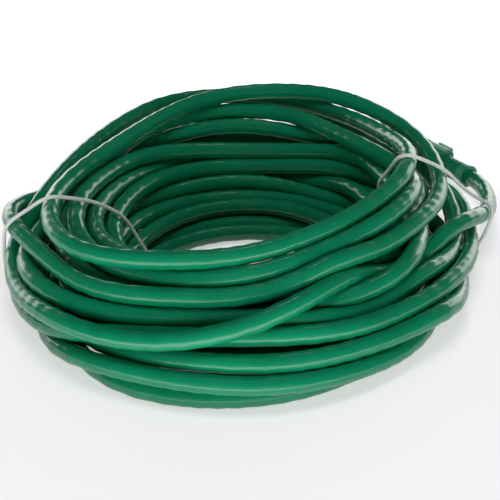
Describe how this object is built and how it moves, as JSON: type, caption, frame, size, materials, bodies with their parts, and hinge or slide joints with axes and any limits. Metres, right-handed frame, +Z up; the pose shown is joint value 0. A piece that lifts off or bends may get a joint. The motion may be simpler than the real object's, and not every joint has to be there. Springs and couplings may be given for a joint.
{
  "type": "ethernet patch cable",
  "caption": "Coiled network patch cable with a clear latching modular plug and a ribbed strain relief boot on each end, held by two wire ties.",
  "frame": {"origin": "on the surface the coil lies on, under the middle of the whole cable's box", "axes": "+Z up out of the coil; the two ties hold the coil at its -X and +X sides; both plugs lie behind it, at +X and +Y"},
  "size_m": [0.1946, 0.2026, 0.0378],
  "materials": {
    "cable_jacket": "glossy vinyl, a little lumpy over the twisted pairs",
    "tie_coating": "satin white coating on thin wire",
    "boot_vinyl": "satin moulded vinyl",
    "plug_clear": "clear moulded polycarbonate",
    "plug_insert": "clear moulded polycarbonate",
    "contact_gold": "gold flash over bronze",
    "wire_orange": "coloured wire insulation",
    "wire_green": "coloured wire insulation",
    "wire_blue": "coloured wire insulation",
    "wire_brown": "coloured wire insulation"
  },
  "bodies": {
    "cable": {"cable_coil": "cable_jacket", "cable_lead_a": "cable_jacket", "cable_lead_b": "cable_jacket", "tie_left": "tie_coating", "tie_right": "tie_coating", "boot_a": "boot_vinyl", "housing_a": "plug_clear", "contacts_a": "contact_gold", "load_bar_a": "plug_insert", "crimp_wedge_a": "plug_insert", "cable_end_a": "cable_jacket", "wires_orange_a": "wire_orange", "wires_green_a": "wire_green", "wires_blue_a": "wire_blue", "wires_brown_a": "wire_brown", "boot_b": "boot_vinyl", "housing_b": "plug_clear", "contacts_b": "contact_gold", "load_bar_b": "plug_insert", "crimp_wedge_b": "plug_insert", "cable_end_b": "cable_jacket", "wires_orange_b": "wire_orange", "wires_green_b": "wire_green", "wires_blue_b": "wire_blue", "wires_brown_b": "wire_brown"},
    "latch_a": {"latch_a": "plug_clear"},
    "hood_a": {"hood_a": "boot_vinyl"},
    "latch_b": {"latch_b": "plug_clear"},
    "hood_b": {"hood_b": "boot_vinyl"}
  },
  "joints": [
    {"name": "latch_press_a", "type": "hinge", "parent": "cable", "child": "latch_a", "pos_m": [0.06993, 0.09019, 0.00674], "axis": [0, 0, -1], "range_deg": [0, 10], "stiffness_Nm_per_rad": 0.05},
    {"name": "hood_press_a", "type": "hinge", "parent": "cable", "child": "hood_a", "pos_m": [0.08303, 0.07236, 0.00674], "axis": [0, 0, 1], "range_deg": [0, 12], "stiffness_Nm_per_rad": 0.02},
    {"name": "latch_press_b", "type": "hinge", "parent": "cable", "child": "latch_b", "pos_m": [0.05359, 0.09519, 0.0089], "axis": [0.1392, -0.9903, 0], "range_deg": [0, 10], "stiffness_Nm_per_rad": 0.05},
    {"name": "hood_press_b", "type": "hinge", "parent": "cable", "child": "hood_b", "pos_m": [0.03168, 0.09211, 0.0094], "axis": [-0.1392, 0.9903, 0], "range_deg": [0, 12], "stiffness_Nm_per_rad": 0.02}
  ],
  "couplings": [
    {"joint": "hood_press_a", "follows": "latch_press_a", "ratio": 1.2},
    {"joint": "hood_press_b", "follows": "latch_press_b", "ratio": 1.2}
  ]
}
